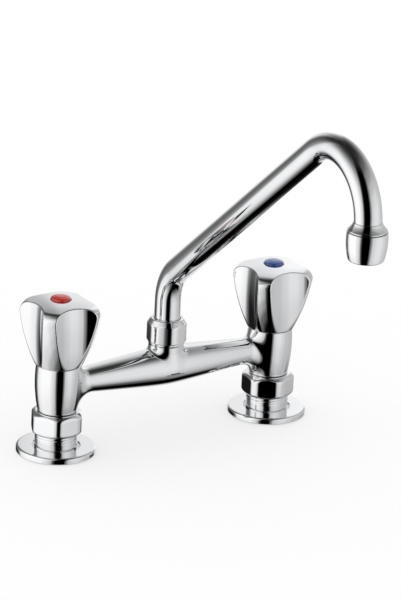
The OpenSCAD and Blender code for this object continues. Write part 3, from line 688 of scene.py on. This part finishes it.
# The centre line runs up, bends forward, rises along the slope, bends over and drops. It is given
# by its distance in front of the swivel axis, its height and its tilt from upright, row by row.
def spoutPath():
    p = spout
    tilt = math.radians(90 - p["slope"])
    riser = ([0, 0], [p["foot"], p["foot"] + p["riserRow"]], [0, 0])
    a = np.linspace(0, tilt, p["bendOneRows"])
    bendOne = (p["bendOneR"] * (1 - np.cos(a)), p["riserTop"] + p["bendOneR"] * np.sin(a), a)
    startS, startZ = bendOne[0][-1], bendOne[1][-1]
    along = np.linspace(0, p["run"], p["runRows"])[1:-1]
    run = (startS + along * math.sin(tilt), startZ + along * math.cos(tilt), 0 * along + tilt)
    centreS = startS + p["run"] * math.sin(tilt) + p["bendTwoR"] * math.cos(tilt)
    centreZ = startZ + p["run"] * math.cos(tilt) - p["bendTwoR"] * math.sin(tilt)
    b = np.linspace(tilt, math.pi, p["bendTwoRows"])
    bendTwo = (centreS - p["bendTwoR"] * np.cos(b), centreZ + p["bendTwoR"] * np.sin(b), b)
    drop = ([bendTwo[0][-1]], [bendTwo[1][-1] - p["drop"]], [math.pi])
    return [np.concatenate(parts) for parts in zip(riser, bendOne, run, bendTwo, drop)]


# The tube: at each row of the path a circle square to it, first along the outside, then back along
# the inside, so that the wall closes at both ends. The direction of a point on the circle at angle
# t is cos t forward in the plane of the path and sin t sideways.
def makeTube(name):
    s, z, tilt = spoutPath()
    rows = len(s)
    order = np.concatenate([np.arange(rows), np.arange(rows)[::-1]])
    s, z, tilt = s[order, None], z[order, None], tilt[order, None]
    radius = np.repeat([spout["r"], spout["r"] - spout["wall"]], rows)[:, None]
    radius[[0, rows - 1]] -= spout["endEdge"]
    outward = np.repeat([1.0, -1.0], rows)[:, None, None]
    t = np.linspace(0, 2 * np.pi, spout["columns"], endpoint=False)
    forward, sideways = np.cos(t) + 0 * s, np.sin(t) + 0 * s
    point = np.stack([sideways * radius, -(s + forward * radius * np.cos(tilt)),
                      z - forward * radius * np.sin(tilt)], axis=-1)
    normal = np.stack([sideways, -forward * np.cos(tilt), -forward * np.sin(tilt)], axis=-1)
    faces = gridFaces(2 * rows, spout["columns"], closedRows=True)
    return writeMesh(name, point.reshape(-1, 3), [faces], (normal * outward).reshape(-1, 3))


outlet = {
    "y": -206.76, "collarTop": 201.2, "collarR": 11.3, "collarFoot": 195.9, "lip": 0.7,
    "throatR": 8.15, "hollow": 1.5, "flareRows": 9,       # the flare's top, how hollow it is
    "spigotR": 10.2, "spigotFoot": 187.9, "boreR": 6.8, "socketR": 8.06, "dropFoot": 198.0,
    "mouthEdge": 0.3, "spigotEdge": 0.5, "rootEdge": 0.2, "collarEdge": 0.3, "lipEdge": 0.25,
    "socketEdge": 0.1,
}


# The collar's flare is a hollow curve from the tube out to the lip: its width over the throat goes
# with a power of the share of the height still to climb.
def makeOutlet():
    o = outlet
    lip = o["collarFoot"] + o["lip"]
    corners = [(o["boreR"], o["spigotFoot"], o["mouthEdge"]),
               (o["spigotR"], o["spigotFoot"], o["spigotEdge"]),
               (o["spigotR"], o["collarFoot"], o["rootEdge"]),
               (o["collarR"], o["collarFoot"], o["collarEdge"]),
               (o["collarR"], lip, o["lipEdge"])]
    corners += [(o["throatR"] + (o["collarR"] - o["throatR"]) * (1 - v) ** o["hollow"],
                 lip + (o["collarTop"] - lip) * v, 0)
                for v in np.linspace(0, 1, o["flareRows"])[1:-1]]
    corners += [(o["throatR"], o["collarTop"], 0), (o["socketR"], o["collarTop"], 0),
                (o["socketR"], o["dropFoot"], o["socketEdge"]),
                (o["boreR"], o["dropFoot"], o["rootEdge"])]
    return lathe("outletCollar", corners, y=o["y"])


housing = {
    "foot": 178.4, "top": 195.7, "beltUp": 12.1,          # the widest place, over the foot
    "r": 12.0, "topR": 11.65, "mouthR": 10.3, "mouthRound": 1.2, "mouthIn": 0.15,
    "belly": 1.8, "sideRows": 16, "sideFrom": 0.16, "sideTo": 0.99,   # shares of the height
    "boreR": 8.9, "threadR": 10.3, "step": 185.0,
    "mouthEdge": 0.35, "topEdge": 0.3, "stepEdge": 0.2,
}


# A barrel whose radius falls off from its belt, with a power of the distance below it and with its
# square above it.
def makeHousing():
    h = housing
    tall, belt = h["top"] - h["foot"], h["beltUp"]
    up = np.linspace(h["sideFrom"], h["sideTo"], h["sideRows"]) * tall
    r = h["r"] - (h["r"] - h["mouthR"]) * np.maximum(0, (belt - up) / belt) ** h["belly"]
    r = r - (h["r"] - h["topR"]) * np.maximum(0, (up - belt) / (tall - belt)) ** 2
    corners = [(h["boreR"], h["foot"], h["mouthEdge"]),
               (h["mouthR"] - h["mouthIn"], h["foot"], h["mouthRound"])]
    corners += [(a, h["foot"] + b, 0) for a, b in zip(r, up)]
    corners += [(h["topR"], h["top"], h["topEdge"]), (h["threadR"], h["top"], h["topEdge"]),
                (h["threadR"], h["step"], h["stepEdge"]), (h["boreR"], h["step"], h["stepEdge"])]
    return lathe("aeratorHousing", corners, y=outlet["y"])


settle(makeTube("spoutTube"), "spout", "chrome", "spout_tube", drawnChrome)
settle(makeOutlet(), "spout", "chrome", "spout_outlet")
settle(makeHousing(), "spout", "chrome", "aerator_housing")
print("spout made")


# Inner pieces

# What each valve holds and what the middle holds, with the finish of each.
ofValves = {
    "union_gasket": "rubber", "retaining_ring": "steel", "seat_seal": "rubber",
    "fixed_disc": "ceramic", "moving_disc": "ceramic", "headwork_bush": "brass",
    "bush_gasket": "rubber", "spindle": "brass", "spindle_o_rings": "rubber",
    "spindle_clip": "steel", "handle_screw": "steel",
}
innerPieces = {
    "spout_washer": "nylon", "spout_split_ring": "nylon", "spout_o_rings": "rubber",
    "spout_spigot": "brass", "aerator_gasket": "rubber", "aerator_insert": "nylon",
}
for side in valves:
    innerPieces.update({side + "_" + name: finish for name, finish in ofValves.items()})
for name, finish in innerPieces.items():
    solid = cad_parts[name]
    solid.data.materials.clear()
    solid.data.materials.append(finishes[finish].material)
print("inner pieces finished")


# Floor, light and camera

floorPlate = {"half": 6.0, "drop": 0.0005, "grey": 0.5, "glow": 0.5}    # half and drop in metres


# A pale plate just under the tap, which lights itself a little so that its shadows stay faint.
def makeFloor():
    half, grey = floorPlate["half"], floorPlate["grey"]
    mesh = bpy.data.meshes.new("floor")
    mesh.from_pydata([(-half, -half, 0), (half, -half, 0), (half, half, 0), (-half, half, 0)],
                     [], [(0, 1, 2, 3)])
    floor = bpy.data.objects.new("floor", mesh)
    floor.location.z = -floorPlate["drop"]
    scene.collection.objects.link(floor)
    paleFloor = Finish("paleFloor", {
        "Base Color": colour(grey, grey, grey), "Roughness": 0.9, "Specular IOR Level": 0.0,
        "Emission Color": colour(1, 1, 1), "Emission Strength": floorPlate["glow"]})
    mesh.materials.append(paleFloor.material)
    floor.visible_glossy = False


# The studio as the chrome sees it, on a sphere about the tap: brightness at each azimuth on the
# horizon, then the share of it left at each elevation. Azimuth 237 is the camera's own side, and
# the round ends at 360 as it starts at 0.
studio = {
    "centre": (0, -100, 60), "radius": 450.0, "step": 1.0, "lean": 0.1,
    "round": ((0, 0.62), (20, 0.56), (33, 0.58), (46, 1.10), (62, 0.92), (74, 0.92), (83, 0.55),
              (93, 0.17), (108, 0.15), (119, 0.28), (131, 1.02), (150, 1.17), (182, 1.17),
              (198, 0.93), (209, 0.70), (218, 0.08), (224, 0.0), (254, 0.0), (262, 0.28),
              (270, 0.74), (290, 0.89), (305, 0.90), (325, 0.77), (345, 0.64), (360, 0.62)),
    "upright": ((-90, 0.0), (-77, 0.004), (-66, 0.13), (-55, 0.42), (-45, 0.70), (-34, 0.87),
                (-15, 1.0), (20, 1.0), (34, 0.89), (45, 0.66), (55, 0.36), (65, 0.15), (76, 0.05),
                (90, 0.03)),
    "zenith": 0.6, "zenithFade": (58, 90),
    "shades": ((30, 18, -27, 0.04), (95, 22, -13, 0.08), (62, 66, -50, 0.03)),
    "shadeSoftness": (8, 7),
}


# A smooth curve through the points (place, value), each pair of them joined by an S.
def stops(v, points):
    places, values = np.array(points, float).T
    i = np.clip(np.searchsorted(places, v, side="right") - 1, 0, len(places) - 2)
    return values[i] + (values[i + 1] - values[i]) * ease(v, places[i], places[i + 1])


# The two multiplied, the round leaning a little with height and evening out at the zenith. Each
# shade is a dark place low at the back: its azimuth and half its width, the elevation that it lies
# below, and the share of light left there.
def studioLight(azimuth, elevation):
    azimuth = (azimuth - studio["lean"] * elevation) % 360
    even = ease(elevation, *studio["zenithFade"])
    light = stops(azimuth, studio["round"]) * (1 - even) + studio["zenith"] * even
    light = light * stops(elevation, studio["upright"])
    soft, softUp = studio["shadeSoftness"]
    for middle, half, below, share in studio["shades"]:
        off = np.abs((azimuth - middle + 180) % 360 - 180)
        shade = 1 - ease(off, half - soft, half + soft)
        shade = shade * (1 - ease(elevation, below - softUp, below + softUp))
        light = light * (1 - shade * (1 - share))
    return light


# The sphere itself, seen only by reflections.
def makeTent():
    elevation = np.radians(np.arange(-90 + studio["step"], 90, studio["step"]))
    azimuth = np.radians(np.arange(0, 360, studio["step"]))
    e, a = np.meshgrid(elevation, azimuth, indexing="ij")
    ball = np.stack([np.cos(e) * np.cos(a), np.cos(e) * np.sin(a), np.sin(e)], axis=-1)
    ball = np.concatenate([ball.reshape(-1, 3), [[0, 0, -1], [0, 0, 1]]])
    faces = [gridFaces(len(elevation), len(azimuth), closedRows=False)]
    faces += poleFaces(len(elevation), len(azimuth))
    tent = writeMesh("studioTent", ball * studio["radius"] + studio["centre"],
                     [f[:, ::-1] for f in faces], -ball)
    light = studioLight(np.degrees(np.arctan2(ball[:, 1], ball[:, 0])),
                        np.degrees(np.arcsin(np.clip(ball[:, 2], -1, 1))))
    layer = tent.data.attributes.new("brightness", "FLOAT_COLOR", "POINT")
    shades = np.stack([light, light, light, 0 * light + 1], axis=1)
    layer.data.foreach_set("color", shades.astype(np.float32).ravel())
    glow = Finish("studioTent", {"Base Color": colour(0, 0, 0), "Specular IOR Level": 0.0,
                                 "Emission Strength": 1.0})
    brightness = glow.node("ShaderNodeAttribute", {"attribute_name": "brightness"}, {})
    glow.drive("Emission Color", brightness)
    tent.data.materials.append(glow.material)
    tent.visible_camera = tent.visible_diffuse = tent.visible_shadow = False
    tent.visible_transmission = tent.visible_volume_scatter = False


# An even white sky, which lights the floor.
def makeSky():
    sky = bpy.data.worlds.new("studio")
    sky.use_nodes = True
    background = sky.node_tree.nodes["Background"]
    background.inputs["Color"].default_value = colour(1, 1, 1)
    background.inputs["Strength"].default_value = 1.0
    scene.world = sky
    scene.view_settings.view_transform = "Standard"
    scene.view_settings.look = "None"


view = {
    "azimuth": -32.35, "elevation": 20.32, "roll": 2.67, "distance": 2578.2,
    "targetX": 23.18, "targetZ": 80.55,
    "focal": 4245.0, "longSide": 601,                     # in the photograph's pixels
    "sensor": 36.0, "farthest": 50.0,                     # farthest in metres
}


# The camera looks along -back at the target; its right is level, then both are rolled.
def placeCamera():
    a, e, roll = (math.radians(view[k]) for k in ("azimuth", "elevation", "roll"))
    back = np.array([math.sin(a) * math.cos(e), -math.cos(a) * math.cos(e), math.sin(e)])
    right = np.cross(-back, [0, 0, 1])
    right /= np.linalg.norm(right)
    up = np.cross(right, -back)
    tiltedRight = right * math.cos(roll) + up * math.sin(roll)
    tiltedUp = up * math.cos(roll) - right * math.sin(roll)
    eye = np.array([view["targetX"], 0, view["targetZ"]]) + back * view["distance"]
    lens = bpy.data.cameras.new("photographView")
    lens.sensor_fit = "AUTO"
    lens.sensor_width = view["sensor"]
    lens.lens = view["sensor"] * view["focal"] / view["longSide"]
    lens.clip_end = view["farthest"]
    camera = bpy.data.objects.new("photographView", lens)
    matrix = np.eye(4)
    matrix[:3, :3] = np.stack([tiltedRight, tiltedUp, back], axis=1)
    matrix[:3, 3] = eye * mm
    camera.matrix_world = Matrix(matrix.tolist())
    scene.collection.objects.link(camera)
    scene.camera = camera


makeFloor()
makeTent()
makeSky()
placeCamera()
print("stage and camera set")
